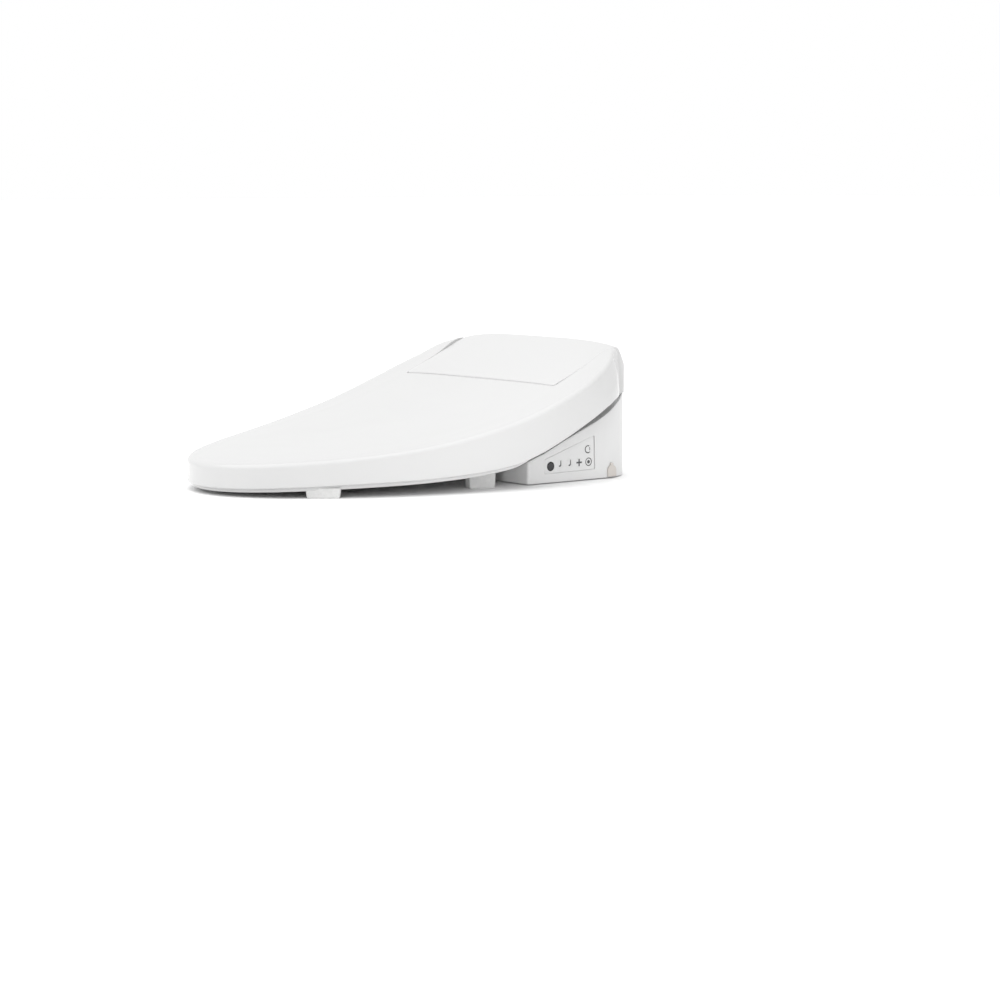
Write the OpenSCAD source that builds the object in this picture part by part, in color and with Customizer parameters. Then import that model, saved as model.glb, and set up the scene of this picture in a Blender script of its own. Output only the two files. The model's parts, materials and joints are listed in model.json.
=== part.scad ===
// Electric bidet seat for an elongated toilet bowl.
// Millimetres, +Z up. The front of the seat faces -Y and +X is the sitter's left.
// The origin is midway between the two mounting bolt holes, on the plane of the bowl's rim.

/* [Lid] */
// Width of the closed lid at its widest
lid_w = 387; // [376:1:392]
// Distance from the bolt line forward to the lid's tip
lid_front = 476; // [466:1:480]
// Wall thickness of the lid and the seat shells
wall = 3; // [2:0.5:3.5]
// Height of the lid's crown above its side edges
crown = 2; // [1:0.5:4]

/* [Seat] */
// Width of the opening in the seat ring
opening_w = 208; // [190:1:220]
// Distance from the bolt line forward to the front of the opening
opening_front = 400; // [380:1:405]

/* [Housing] */
// Width of the housing between its flat sides
housing_w = 320; // [316:1:322]
// Distance between the two mounting bolts
bolt_spacing = 140; // [130:1:160]
// Diameter of the mounting bolt holes
bolt_hole_d = 9; // [8:0.5:11]

/* [Hinge] */
// Radius of the hinge shafts
shaft_r = 5; // [4:0.5:5.5]
// Radial running clearance of a shaft in its bore
running = 0.06; // [0.02:0.01:0.1]

/* [Wash nozzle] */
// Radius of the nozzle wand
wand_r = 7.5; // [7:0.5:8]
// Slope of the wand below the horizontal
wand_slope = 20; // [18:1:21]

/* [Hidden] */
$fn = 48;

tall = 220;
wide = 520;

// Side profiles as [y, z] stations, front to rear
LID_TOP = [[-480, 34], [-380, 42], [-280, 54], [-180, 76], [-100, 104], [-40, 130], [6, 151], [20, 147]];
LID_EDGE = [[-480, 8.5], [-380, 14.5], [-280, 18.6], [-180, 28.6], [-160, 34.2], [-138, 41.6], [-116, 50.6],
    [-98, 58.2], [-69, 71], [-49, 80], [-30, 89], [-13, 95.5], [4, 98.5], [20, 101]];
SEAT_TOP = [[-480, 26], [-380, 34], [-280, 45], [-180, 62], [-130, 74], [-80, 86]];
SEAT_EDGE = [[-480, 4.2], [-380, 9.6], [-280, 14], [-180, 24.6], [-150, 36], [-130, 46.5], [-80, 62]];
SHOULDER = [[-140, 25.5], [-125, 31.2], [-110, 36.2], [-99, 41], [-87, 46.3], [-78, 50.3], [-66, 55],
    [-57, 58.7], [-48, 62.1], [-39, 65.9], [-32, 68.7], [-25, 72], [-17, 76.3], [-10, 80], [-4, 83.6],
    [4, 88], [10, 91], [20, 96], [28, 99], [60, 99]];
NOSE_ROOF = [[-136, 46.5], [-70, 71.5]];

// The lid's plan
lid_half = lid_w / 2;
lid_wide_y = -133;
lid_rear = 17;
lid_corner_x = 185;
lid_corner_r = 64;
egg = 1.88;

// The notch between the lid's two hinge arms
notch_half = 142.5;
notch_front = -82.5;
lip_h = 6;

// The seat ring lies inside the lid's skirt
seat_inset = 5.5;
seat_rear = -82.5;
seam_h = 8;

// The housing's plan and its raised centre block
tub_half = housing_w / 2;
tub_front = -135;
tub_rear = 43;
tub_corner_r = 62;
tub_front_r = 5;
base_gap = 1;
block_half = 139.5;
block_front = -80;
ridge_y = 16;
ridge_side = 151.5;
ridge_middle = 160.5;
nose_half = 65;

// The hinge line shared by the seat and the lid
hinge_y = -10;
hinge_z = 122;
boss_r = 13;
arm_in = 142;
arm_w = 11;
ear_in = 154.5;
ear_w = 5.5;

// The wand's own frame: its tip at rest, pointing along -Y
port_y = -133;
port_z = 32;
wand_len = 162;
rack_pitch = 3.1416;
rack_floor = 5;
tooth_h = 1.6;
pinion_teeth = 16;
pinion_r = pinion_teeth * rack_pitch / (2 * 3.1416);
pinion_y = 84;
pinion_z = rack_floor + tooth_h / 2 + pinion_r;

// The control panel, as [y, z] corners on the housing's side
PANEL = [[-111, 11.5], [-33.5, 12.5], [-34.5, 52.8], [-110.5, 29]];
key_r = 5.1;
panel_back = 1.6;

// Blower, dryer duct and deodorizer
blower = [64, -45];
duct_x = [36, 60];
duct_z = [16, 34];
deodorizer_x = -80;
deodorizer_z = 40;

// ---------- shared shapes ----------

function raise(profile, dz) = [for (p = profile) [p[0], p[1] + dz]];
function backwards(list) = [for (i = [len(list) - 1 : -1 : 0]) list[i]];
function both_sides(right) = concat(right, [for (p = backwards(right)) if (p[0] > 0.01) [-p[0], p[1]]]);

// An egg-shaped plan with rounded rear corners, drawn d inside its nominal edge
function egg_plan(half, front, widest, corner_x, rear, corner_r, d) = both_sides(concat(
    [for (a = [0 : 7.5 : 90])
        [(half - d) * sqrt(1 - pow(cos(a), egg)), widest - (widest - front - d) * cos(a)]],
    [for (a = [0 : 15 : 90])
        [corner_x - corner_r + (corner_r - d) * cos(a), rear - corner_r + (corner_r - d) * sin(a)]]));

function lid_plan(d) = egg_plan(lid_half, -lid_front, lid_wide_y, lid_corner_x, lid_rear, lid_corner_r, d);
function seat_plan(d) = egg_plan(lid_half, -lid_front, lid_wide_y, 186, seat_rear, 30, seat_inset + d);
function opening_plan(d) = egg_plan(opening_w / 2, -opening_front, -235, opening_w / 2 - 8, -130, 70, d);

function tub_plan(d) = both_sides(concat(
    [[0, tub_front + d]],
    [for (a = [-90 : 30 : 0])
        [tub_half - tub_front_r + (tub_front_r - d) * cos(a),
         tub_front + tub_front_r + (tub_front_r - d) * sin(a)]],
    [for (a = [0 : 10 : 90])
        [tub_half - tub_corner_r + (tub_corner_r - d) * cos(a),
         tub_rear - tub_corner_r + (tub_corner_r - d) * sin(a)]],
    [[0, tub_rear - d]]));

module plan_prism(points) {
    translate([0, 0, -20])
        linear_extrude(height = tall)
            polygon(points);
}

// A [y, z] outline drawn out along X between x0 and x1
module across(x0, x1) {
    translate([x0, 0, 0])
        rotate([90, 0, 90])
            linear_extrude(height = x1 - x0)
                children();
}

module between(low, high, half = wide / 2) {
    across(-half, half)
        polygon(concat(low, backwards(high)));
}

module rod_x(x0, x1, y, z, r) {
    translate([x0, y, z])
        rotate([0, 90, 0])
            cylinder(h = x1 - x0, r = r);
}

module rod_y(y0, y1, x, z, r) {
    translate([x, y1, z])
        rotate([90, 0, 0])
            cylinder(h = y1 - y0, r = r);
}

module rod_z(z0, z1, x, y, r) {
    translate([x, y, z0])
        cylinder(h = z1 - z0, r = r);
}

module block(low, high) {
    translate(low)
        cube(high - low);
}

module mirrored_pair() {
    children();
    mirror([1, 0, 0])
        children();
}

// Places a child drawn along the wand: its -Y runs out of the port
module along_wand() {
    translate([0, port_y, port_z])
        rotate([wand_slope, 0, 0])
            children();
}

// ---------- mounting and housing ----------

module mounting_plate() {
    color("gainsboro")
        difference() {
            union() {
                block([-98, -34, 0], [98, 36, 5]);
                mirrored_pair()
                    block([90, -34, 5], [98, 36, 10]);
                block([-30, -20, 5], [30, 20, 8]);
            }
            mirrored_pair()
                rod_z(-1, 6, bolt_spacing / 2, 0, bolt_hole_d / 2);
        }
}

module panel_recess(x0, x1, d) {
    across(x0, x1)
        polygon([
            PANEL[0] + [d, d],
            PANEL[1] + [-d, d],
            PANEL[2] + [-d, -1.35 * d],
            PANEL[3] + [d, -0.75 * d]
        ]);
}

SCREWS = [[125, -122], [145, -30], [-125, -122], [-145, -15], [112, 28], [-112, 28]];
screw_boss_r = 5;
FEET = [[140, -118], [-140, -118], [118, 5], [-118, 5]];
foot_r = 8;

module base_tub() {
    color("whitesmoke")
        difference() {
            union() {
                difference() {
                    intersection() {
                        plan_prism(tub_plan(0));
                        between([[-140, base_gap], [60, base_gap]], SHOULDER);
                    }
                    intersection() {
                        plan_prism(tub_plan(wall));
                        between([[-140, base_gap + wall], [60, base_gap + wall]], raise(SHOULDER, 30));
                    }
                }
                block([-nose_half, tub_front, base_gap], [nose_half, tub_front + wall, 46.5]);
                block([-104, -40, base_gap], [104, tub_rear - 1, 17]);
                for (p = SCREWS)
                    rod_z(base_gap + 1, 24, p[0], p[1], screw_boss_r);
            }
            // room for the mounting plate and the bolt heads, open to the rear
            block([-101, -37, -5], [101, 60, 14]);
            for (p = SCREWS) {
                rod_z(-1, 25, p[0], p[1], 2);
                rod_z(-1, base_gap + 1.5, p[0], p[1], 4);
            }
            for (p = FEET)
                rod_z(-1, base_gap + 1.5, p[0], p[1], foot_r);
            along_wand()
                rod_y(-20, 12, 0, 0, wand_r + 2);
            block([duct_x[0] + 0.5, -150, duct_z[0] + 0.5], [duct_x[1] - 0.5, -130, duct_z[1] - 0.5]);
            rod_y(-150, -130, -45, 26, 5);
            rod_x(-170, -150, -40, 22, 11);
            rod_y(30, 60, -40, 28, 6);
            block([-97, 30, 24], [-63, 50, 56]);
            panel_recess(tub_half - panel_back, tub_half + 5, 0);
            panel_recess(tub_half - 10, tub_half, 2.5);
            across(145, 170)
                release_outline(0.5);
        }
}

// An upright slice of the raised block at y, rising from its sides to its middle
module block_slice(y, half, side, middle) {
    rise = middle - side;
    translate([0, y, 0])
        rotate([90, 0, 0])
            linear_extrude(height = 0.01)
                polygon(concat([[-half, 20], [half, 20]],
                    [for (i = [8 : -1 : -8]) [half * i / 8, side + rise * (1 - pow(abs(i) / 8, 4))]]));
}

// The raised block over the works, smaller by d all round
module domed_block(d) {
    hull() {
        block_slice(block_front + d, block_half - d, 111.5 - d, 113.5 - d);
        block_slice(ridge_y - d / 2, block_half - d, ridge_side - d, ridge_middle - d);
        block_slice(tub_rear - d, block_half - d, 99 - d, 101 - d);
    }
}

module top_cover() {
    color("white")
        difference() {
            union() {
                intersection() {
                    plan_prism(tub_plan(wall + 0.2));
                    between(raise(SHOULDER, -wall), SHOULDER);
                }
                intersection() {
                    plan_prism(tub_plan(0));
                    domed_block(0);
                    between(SHOULDER, [[-140, tall], [60, tall]]);
                }
                across(-nose_half, nose_half)
                    polygon([[-131.8, 31], [-131.8, 48], [-79, 68], [-79, 56], [-100, 47]]);
            }
            intersection() {
                plan_prism(tub_plan(wall + 0.2));
                domed_block(wall);
                between([[-100, 32], [-77, 38], [-40, 45], [-14, 60], [45, 60]], [[-100, tall], [45, tall]]);
            }
            across(-nose_half + wall, nose_half - wall)
                polygon([[-140, 20], [-140, 41.9], [-70, 68.4], [-70, 50], [-100, 30]]);
            rod_x(-wide / 2, wide / 2, hinge_y, hinge_z, shaft_r + 0.4);
            rod_y(-90, -70, 50, 92, 6);
        }
}

module case_screws() {
    color("silver")
        for (p = SCREWS) {
            rod_z(base_gap + 0.3, base_gap + 1.5, p[0], p[1], 3.8);
            rod_z(base_gap + 1.5, 22, p[0], p[1], 1.95);
        }
}

module rubber_feet() {
    color("dimgray")
        for (p = FEET)
            rod_z(0, base_gap + 1.5, p[0], p[1], foot_r - 0.1);
}

module rear_vent() {
    color("whitesmoke")
        difference() {
            block([-96.8, 40, 24.2], [-63.2, 43.4, 55.8]);
            for (i = [0 : 4])
                block([-94, 35, 27 + 5.6 * i], [-66, 50, 30 + 5.6 * i]);
        }
}

// ---------- controls on the housing's side ----------

ir_at = [-101.7, 20.2];
ir_r = 5.5;
KEYS = [[-87.2, 22], [-72.5, 22], [-58.4, 22], [-43.9, 22], [-44.8, 37]];

module panel_plate() {
    color("white")
        difference() {
            panel_recess(tub_half - panel_back + 0.1, tub_half + 0.2, 0.4);
            for (k = KEYS)
                rod_x(150, 170, k[0], k[1], key_r + 0.35);
            rod_x(150, 170, ir_at[0], ir_at[1], ir_r + 0.1);
        }
}

module key(i) {
    color("white") {
        rod_x(tub_half - 3.2, tub_half + 0.6, KEYS[i][0], KEYS[i][1], key_r);
        rod_x(tub_half - 3.2, tub_half - 1.8, KEYS[i][0], KEYS[i][1], key_r + 0.9);
    }
}

module panel_board() {
    color("seagreen") {
        block([150, -108, 15], [151.6, -37, 29]);
        block([150, -52, 29], [151.6, -37, 42]);
        for (k = KEYS)
            rod_x(151.6, 156, k[0], k[1], 2.5);
    }
}

module ir_window() {
    color("black")
        rod_x(tub_half - 6, tub_half + 0.4, ir_at[0], ir_at[1], ir_r);
}

module release_outline(d) {
    translate([-8, 9.6])
        circle(r = 6.4 + d);
    translate([-14.4 - d, 2.5 - d])
        square([12.8 + 2 * d, 7.1 + d]);
    translate([-10.2 - d, 9.6])
        square([4.4 + 2 * d, 8.8 + d]);
}

module release_button() {
    color("antiquewhite") {
        across(152, 162)
            release_outline(0);
        across(150.5, 153)
            translate([-18, 5])
                square([20, 14]);
    }
}

module cord_gland() {
    color("gray")
        difference() {
            union() {
                rod_y(36, 50, -40, 28, 5.9);
                rod_y(43.2, 45.2, -40, 28, 8);
                rod_y(36, 39.8, -40, 28, 8);
            }
            rod_y(30, 60, -40, 28, 3.2);
        }
}

// ---------- water side ----------

module water_inlet() {
    color("silver")
        difference() {
            union() {
                rod_x(-176, -156.8, -40, 22, 10.475);
                rod_x(-162.5, -160.2, -40, 22, 13);
            }
            rod_x(-180, -150, -40, 22, 7);
        }
}

module inlet_filter() {
    color("lightsteelblue")
        difference() {
            rod_x(-174, -158, -40, 22, 6.8);
            rod_x(-180, -160, -40, 22, 5.6);
        }
}

module solenoid_valve() {
    color("steelblue") {
        rod_x(-156.8, -112, -40, 22, 11);
        block([-141, -51, 30], [-119, -29, 54]);
        rod_x(-112, -104, -52, 22, 4);
        block([-116, -56, 18], [-112, -40, 26]);
    }
}

module flow_sensor() {
    color("ivory")
        block([-104, -66, 14], [-86, -45, 32]);
}

module heater_tank() {
    color("tan") {
        block([-58, -74, 20], [-20, -24, 62]);
        rod_x(-64, -58, -56, 30, 4);
        rod_y(-80, -74, -40, 30, 4);
    }
}

module diverter_valve() {
    color("ivory") {
        rod_x(-58, -30, -98, 26, 12);
        rod_y(-86.5, -84, -40, 30, 4);
    }
}

module diverter_motor() {
    color("silver")
        rod_x(-76, -58, -98, 26, 11);
}

module water_tubes() {
    color("lightblue") {
        rod_x(-86, -64, -56, 30, 3);
        rod_y(-84, -80, -40, 30, 3);
        rod_x(-30, -20, -104, 26, 3);
    }
}

// ---------- wash nozzle ----------

module nozzle_guide() {
    color("silver")
        along_wand()
            difference() {
                union() {
                    rod_y(6, 68, 0, 0, wand_r + 2.2);
                    block([-16, 50, -12], [16, 56, -8]);
                    rod_y(50, 56, 0, 0, 11);
                }
                rod_y(0, 90, 0, 0, wand_r + 0.4);
            }
}

module nozzle_wand() {
    color("whitesmoke")
        along_wand()
            difference() {
                rod_y(14, wand_len, 0, 0, wand_r);
                block([-10, pinion_y - 8, rack_floor], [10, wand_len + 5, 20]);
            }
    color("whitesmoke")
        along_wand()
            for (i = [0 : 25])
                translate([-3, pinion_y + rack_pitch * (i - 2), rack_floor])
                    rotate([90, 0, 90])
                        linear_extrude(height = 6)
                            polygon([[-0.95, -0.2], [0.95, -0.2], [0.35, tooth_h], [-0.35, tooth_h]]);
}

module nozzle_tip() {
    color("white")
        along_wand()
            difference() {
                rod_y(0, 14, 0, 0, wand_r);
                for (x = [-2.4, 0, 2.4])
                    rod_z(wand_r - 3, wand_r + 5, x, 7, 0.7);
            }
}

module drive_pinion() {
    color("ivory")
        along_wand()
            union() {
                rod_x(-3, 3, pinion_y, pinion_z, pinion_r - 1.15);
                for (i = [0 : pinion_teeth - 1])
                    translate([-3, pinion_y, pinion_z])
                        rotate([360 * (i + 0.5) / pinion_teeth, 0, 0])
                            rotate([90, 0, 90])
                                linear_extrude(height = 6)
                                    polygon([[-0.8, 6.4], [0.8, 6.4], [0.3, pinion_r + 0.6],
                                        [-0.3, pinion_r + 0.6]]);
                rod_x(3, 14, pinion_y, pinion_z, 2);
            }
}

module nozzle_motor() {
    color("silver")
        along_wand()
            difference() {
                union() {
                    rod_x(10, 28, pinion_y, pinion_z, 13);
                    block([10, pinion_y - 16, pinion_z - 4], [11.5, pinion_y + 16, pinion_z + 4]);
                }
                rod_x(5, 15, pinion_y, pinion_z, 2 + running);
            }
}

// ---------- warm air dryer and deodorizer ----------

module blower_housing() {
    color("darkslategray")
        difference() {
            union() {
                rod_z(18, 40, blower[0], blower[1], 28);
                block([duct_x[0], -73.9, 18], [duct_x[1], blower[1], duct_z[1]]);
            }
            rod_z(19.5, 38.5, blower[0], blower[1], 26);
            block([duct_x[0] + 1.5, -80, 19.5], [duct_x[1] - 1.5, blower[1], duct_z[1] - 1.5]);
            rod_z(30, 50, blower[0], blower[1], 4);
            rod_z(10, 20, blower[0], blower[1], 15);
        }
}

module blower_impeller() {
    color("black")
        translate([blower[0], blower[1], 21]) {
            cylinder(h = 1.5, r = 22);
            cylinder(h = 15, r = 5);
            cylinder(h = 27, r = 1.5);
            for (i = [0 : 15])
                rotate([0, 0, 22.5 * i])
                    translate([13, 0, 0])
                        rotate([0, 0, 30])
                            block([0, -0.6, 0], [9.5, 0.6, 15]);
        }
}

module blower_motor() {
    color("silver")
        difference() {
            rod_z(40, 56, blower[0], blower[1], 13);
            rod_z(39, 50, blower[0], blower[1], 1.5 + running);
        }
}

module dryer_duct() {
    color("gray")
        difference() {
            union() {
                block([duct_x[0], -131.8, duct_z[0]], [duct_x[1], -74, duct_z[1]]);
            }
            block([duct_x[0] + 1.5, -140, duct_z[0] + 1.5], [duct_x[1] - 1.5, -60, duct_z[1] - 1.5]);
            rod_x(duct_x[0] - 1, duct_x[1] + 1, -129.5, 31, 1 + running);
        }
}

module dryer_heater() {
    color("goldenrod")
        for (i = [0 : 6])
            block([duct_x[0] + 1.6, -104 + 3 * i, duct_z[0] + 1.6],
                [duct_x[1] - 1.6, -103 + 3 * i, duct_z[1] - 1.6]);
}

module dryer_flap() {
    color("white") {
        rod_x(duct_x[0] + 0.2, duct_x[1] - 0.2, -129.5, 31, 1);
        block([duct_x[0] + 2, -130.3, 18.2], [duct_x[1] - 2, -128.9, 31]);
    }
}

module deodorizer_housing() {
    color("gray")
        difference() {
            block([deodorizer_x - 21, -12, 20], [deodorizer_x + 21, 38, 60]);
            block([deodorizer_x - 19.5, -20, 21.5], [deodorizer_x + 19.5, 9, 58.5]);
            rod_y(5, 45, deodorizer_x, deodorizer_z, 17);
        }
}

module deodorizer_fan() {
    color("black")
        translate([deodorizer_x, 28, deodorizer_z])
            rotate([90, 0, 0]) {
                cylinder(h = 8, r = 5);
                cylinder(h = 13, r = 1.2);
                for (i = [0 : 6])
                    rotate([0, 0, 360 / 7 * i])
                        rotate([35, 0, 0])
                            block([3, -3.4, 1.4], [15.5, 3.4, 2.6]);
            }
}

module deodorizer_motor() {
    color("silver")
        difference() {
            union() {
                rod_y(10, 18, deodorizer_x, deodorizer_z, 9);
                block([deodorizer_x - 16.6, 12, deodorizer_z - 1.5], [deodorizer_x + 16.6, 14, deodorizer_z + 1.5]);
            }
            rod_y(14, 20, deodorizer_x, deodorizer_z, 1.2 + running);
        }
}

module deodorizer_cartridge() {
    color("darkolivegreen")
        difference() {
            block([deodorizer_x - 19.3, -14, 21.7], [deodorizer_x + 19.3, 7, 58.3]);
            for (i = [0 : 4])
                block([deodorizer_x - 17 + 7 * i, -20, 24], [deodorizer_x - 12 + 7 * i, -8, 56]);
        }
}

// ---------- electronics ----------

module main_board() {
    color("green") {
        block([42, -72, 62], [130, 28, 63.6]);
        block([50, -20, 63.6], [70, 5, 67]);
        block([80, -60, 63.6], [94, -46, 66]);
        block([100, -40, 63.6], [124, -20, 75]);
        rod_z(63.6, 78, 112, 8, 7);
        rod_z(63.6, 78, 92, 8, 7);
    }
}

module power_board() {
    color("green") {
        block([-130, -72, 76], [-22, 18, 77.6]);
        block([-120, -60, 77.6], [-90, -30, 100]);
        block([-80, -60, 77.6], [-60, -40, 92]);
        rod_z(77.6, 98, -70, 0, 8);
        rod_z(77.6, 98, -50, 0, 8);
    }
}

module presence_sensor() {
    color("black")
        rod_y(-80.6, -72, 50, 92, 5.9);
}

module night_light() {
    color("aliceblue")
        rod_y(-135.4, -128, -45, 26, 4.9);
}

// ---------- hinge dampers and shafts ----------

module damper(side) {
    mirror([side < 0 ? 1 : 0, 0, 0])
        color("slategray")
            difference() {
                union() {
                    rod_x(78, 136.4, hinge_y, hinge_z, 11);
                    block([122, hinge_y - 20, hinge_z - 10], [128, hinge_y + 14, hinge_z - 6]);
                }
                rod_x(98, 140, hinge_y, hinge_z, shaft_r + running);
            }
}

module hinge_shaft(side) {
    mirror([side < 0 ? 1 : 0, 0, 0])
        color("silver")
            rod_x(100, ear_in + ear_w, hinge_y, hinge_z, shaft_r);
}

// ---------- seat ----------

seat_seam = raise(SEAT_EDGE, seam_h);

module seat_band(low, high) {
    difference() {
        intersection() {
            plan_prism(seat_plan(0));
            between(low, high);
        }
        plan_prism(opening_plan(0));
    }
}

module seat_hollow(low, high, d = 0) {
    difference() {
        intersection() {
            plan_prism(seat_plan(wall + d));
            between(low, high);
        }
        plan_prism(opening_plan(-wall - d));
    }
}

// The space that the seat leaves over the housing's nose
module over_nose(dx, dz) {
    across(-70 - dx, 70 + dx)
        polygon([[-136, 0], [-136, 49.5 + dz], [-70, 75 + dz], [-70, 0]]);
}

module seat_upper_shell() {
    color("white")
        difference() {
            seat_band(seat_seam, SEAT_TOP);
            seat_hollow(raise(seat_seam, -10), raise(SEAT_TOP, -wall));
            over_nose(0, 0);
        }
}

module seat_lower_shell() {
    color("whitesmoke")
        difference() {
            union() {
                difference() {
                    seat_band(SEAT_EDGE, seat_seam);
                    seat_hollow(raise(SEAT_EDGE, wall), raise(seat_seam, 10));
                }
                intersection() {
                    seat_hollow(SEAT_EDGE, SEAT_TOP, 0.1);
                    over_nose(wall, wall);
                    block([-80, -131, 0], [80, 0, tall]);
                }
                mirrored_pair()
                    across(arm_in, arm_in + arm_w) {
                        polygon([[-89.2, 61], [-89.2, 66], [hinge_y - 6, hinge_z + 11],
                            [hinge_y - 1, hinge_z - 12.9]]);
                        translate([hinge_y, hinge_z])
                            circle(r = boss_r);
                    }
            }
            over_nose(0, 0);
            rod_x(0, wide / 2, hinge_y, hinge_z, shaft_r + running);
            rod_x(-wide / 2, 0, hinge_y, hinge_z, shaft_r);
        }
}

module seat_heater() {
    color("goldenrod")
        difference() {
            seat_hollow(raise(SEAT_TOP, -wall - 1), raise(SEAT_TOP, -wall - 0.2), 4);
            block([-wide / 2, -128, 0], [wide / 2, 0, tall]);
        }
}

module rest_bar(x, y, turn, length, width) {
    translate([x, y, -5])
        rotate([0, 0, turn])
            translate([-length / 2, -width / 2, 0])
                cube([length, width, 60]);
}

module seat_bumpers() {
    color("white")
        intersection() {
            between([[-480, 0], [-80, 0]], SEAT_EDGE);
            mirrored_pair() {
                rest_bar(112, -390, 51, 39, 14);
                rest_bar(140, -190, 72, 33, 16);
            }
        }
}

module seat_hinge_shaft() {
    hinge_shaft(-1);
}

// Rings that keep the seat's arms off the centre block
module seat_hinge_caps() {
    color("gainsboro")
        mirrored_pair()
            difference() {
                rod_x(arm_in - 1.6, arm_in, hinge_y, hinge_z, 9);
                rod_x(arm_in - 5, arm_in + 5, hinge_y, hinge_z, shaft_r + 0.2);
            }
}

// ---------- lid ----------

module lid_solid(d, low, high) {
    intersection() {
        plan_prism(lid_plan(d));
        between(low, high);
    }
}

module lid_shell() {
    lid_surface = raise(LID_TOP, crown);
    color("white")
        difference() {
            union() {
                difference() {
                    lid_solid(0, LID_EDGE, lid_surface);
                    lid_solid(wall, raise(LID_EDGE, -20), raise(lid_surface, -wall));
                }
                intersection() {
                    lid_solid(0, raise(lid_surface, -lip_h), lid_surface);
                    block([-notch_half - wall, notch_front - wall, 0], [notch_half + wall, 60, tall]);
                }
                mirrored_pair()
                    across(ear_in, ear_in + ear_w) {
                        polygon([[-30, 135], [-21, 116], [1, 116], [1, 149]]);
                        translate([hinge_y, hinge_z])
                            circle(r = 12);
                    }
            }
            block([-notch_half, notch_front, 0], [notch_half, 60, tall]);
            mirrored_pair()
                block([notch_half - 1, -9, 0], [ear_in - 0.5, 60, 123]);
            mirrored_pair()
                block([notch_half - 1, 2.5, 0], [ear_in + ear_w + 1, 60, 114]);
            rod_x(0, ear_in + ear_w + 1, hinge_y, hinge_z, shaft_r);
            rod_x(-ear_in - ear_w - 1, 0, hinge_y, hinge_z, shaft_r + running);
        }
}

module lid_bumpers() {
    color("gainsboro")
        intersection() {
            between(raise(SEAT_TOP, 0.1), raise(LID_TOP, crown - wall));
            mirrored_pair() {
                rod_z(0, tall, 60, -435, 7);
                rod_z(0, tall, 150, -215, 7);
            }
        }
}

module lid_hinge_shaft() {
    hinge_shaft(1);
}

mounting_plate();
base_tub();
top_cover();
case_screws();
rubber_feet();
rear_vent();
panel_plate();
panel_board();
ir_window();
key(0);  // key_rear_wash
key(1);  // key_front_wash
key(2);  // key_plus
key(3);  // key_stop
key(4);  // key_power
release_button();
cord_gland();
water_inlet();
inlet_filter();
solenoid_valve();
flow_sensor();
heater_tank();
diverter_valve();
diverter_motor();
water_tubes();
nozzle_guide();
nozzle_wand();
nozzle_tip();
nozzle_motor();
drive_pinion();
blower_housing();
blower_impeller();
blower_motor();
dryer_duct();
dryer_heater();
dryer_flap();
deodorizer_housing();
deodorizer_fan();
deodorizer_motor();
deodorizer_cartridge();
main_board();
power_board();
presence_sensor();
night_light();
damper(1);  // lid_damper
damper(-1);  // seat_damper
seat_upper_shell();
seat_lower_shell();
seat_heater();
seat_bumpers();
seat_hinge_shaft();
seat_hinge_caps();
lid_shell();
lid_bumpers();
lid_hinge_shaft();
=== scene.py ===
"""Visual model of an electric bidet seat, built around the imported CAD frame.

Lengths in the code are millimetres. The sitter's left is +X, the front is -Y and up is +Z.
"""

import json
import math

import bmesh
import bpy
import numpy as np
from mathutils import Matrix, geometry


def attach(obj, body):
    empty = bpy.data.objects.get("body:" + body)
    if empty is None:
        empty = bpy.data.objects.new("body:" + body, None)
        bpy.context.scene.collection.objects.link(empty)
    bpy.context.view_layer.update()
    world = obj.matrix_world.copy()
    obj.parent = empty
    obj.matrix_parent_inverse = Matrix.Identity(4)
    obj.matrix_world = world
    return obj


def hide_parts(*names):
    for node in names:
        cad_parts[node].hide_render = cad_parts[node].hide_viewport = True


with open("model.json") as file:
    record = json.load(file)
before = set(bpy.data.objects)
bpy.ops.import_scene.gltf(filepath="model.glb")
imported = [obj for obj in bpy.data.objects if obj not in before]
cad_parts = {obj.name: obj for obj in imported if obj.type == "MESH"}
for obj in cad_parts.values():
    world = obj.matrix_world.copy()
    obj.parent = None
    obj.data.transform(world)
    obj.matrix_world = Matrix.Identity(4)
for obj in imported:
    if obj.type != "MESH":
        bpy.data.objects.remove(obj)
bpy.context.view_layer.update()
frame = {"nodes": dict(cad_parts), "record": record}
MM = 0.001
NODES = frame["nodes"]


# ---------- numbers shared with the CAD ----------

# heights along the seat, as pairs of y and z, and the CROWN's height over the sides
LID_TOP = [[-480, 34], [-380, 42], [-280, 54.2], [-180, 76], [-100, 103.8], [-40, 130], [6, 151], [20, 148]]
LID_EDGE = [[-480, 8.5], [-380, 14.5], [-280, 18.6], [-180, 28.6], [-160, 34.2], [-138, 41.6],
            [-116, 50.6], [-98, 58.2], [-69, 71], [-49, 80], [-30, 89], [-13, 95.5], [4, 98.5], [20, 99]]
COVER_SIDE = [[-84, 112], [-70, 118.2], [-55, 124.6], [-40, 131.2], [-25, 138.2], [-14, 143.2],
              [-5, 147.6], [5, 151.4], [12, 153.4], [17, 152.8], [21, 147], [26, 136.4], [43, 101]]
CROWN = [[-480, 0], [-300, 0.8], [-82, 1.7], [-40, 4.2], [12, 6.9], [17, 6.9], [43, 2]]
SEAT_TOP = [[-480, 26], [-380, 34], [-280, 45], [-180, 62], [-130, 74], [-80, 86]]
SEAT_EDGE = [[-480, 4.2], [-380, 9.6], [-280, 14], [-180, 24.6], [-150, 36], [-130, 46.5], [-80, 62]]
SHOULDER = [[-140, 25.5], [-125, 31.2], [-110, 36.2], [-99, 41], [-87, 46.3], [-78, 50.3], [-66, 55],
            [-57, 58.7], [-48, 62.1], [-39, 65.9], [-32, 68.7], [-25, 72], [-17, 76.3], [-10, 80],
            [-4, 83.6], [4, 88], [10, 91], [20, 96], [28, 99], [60, 99]]
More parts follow.
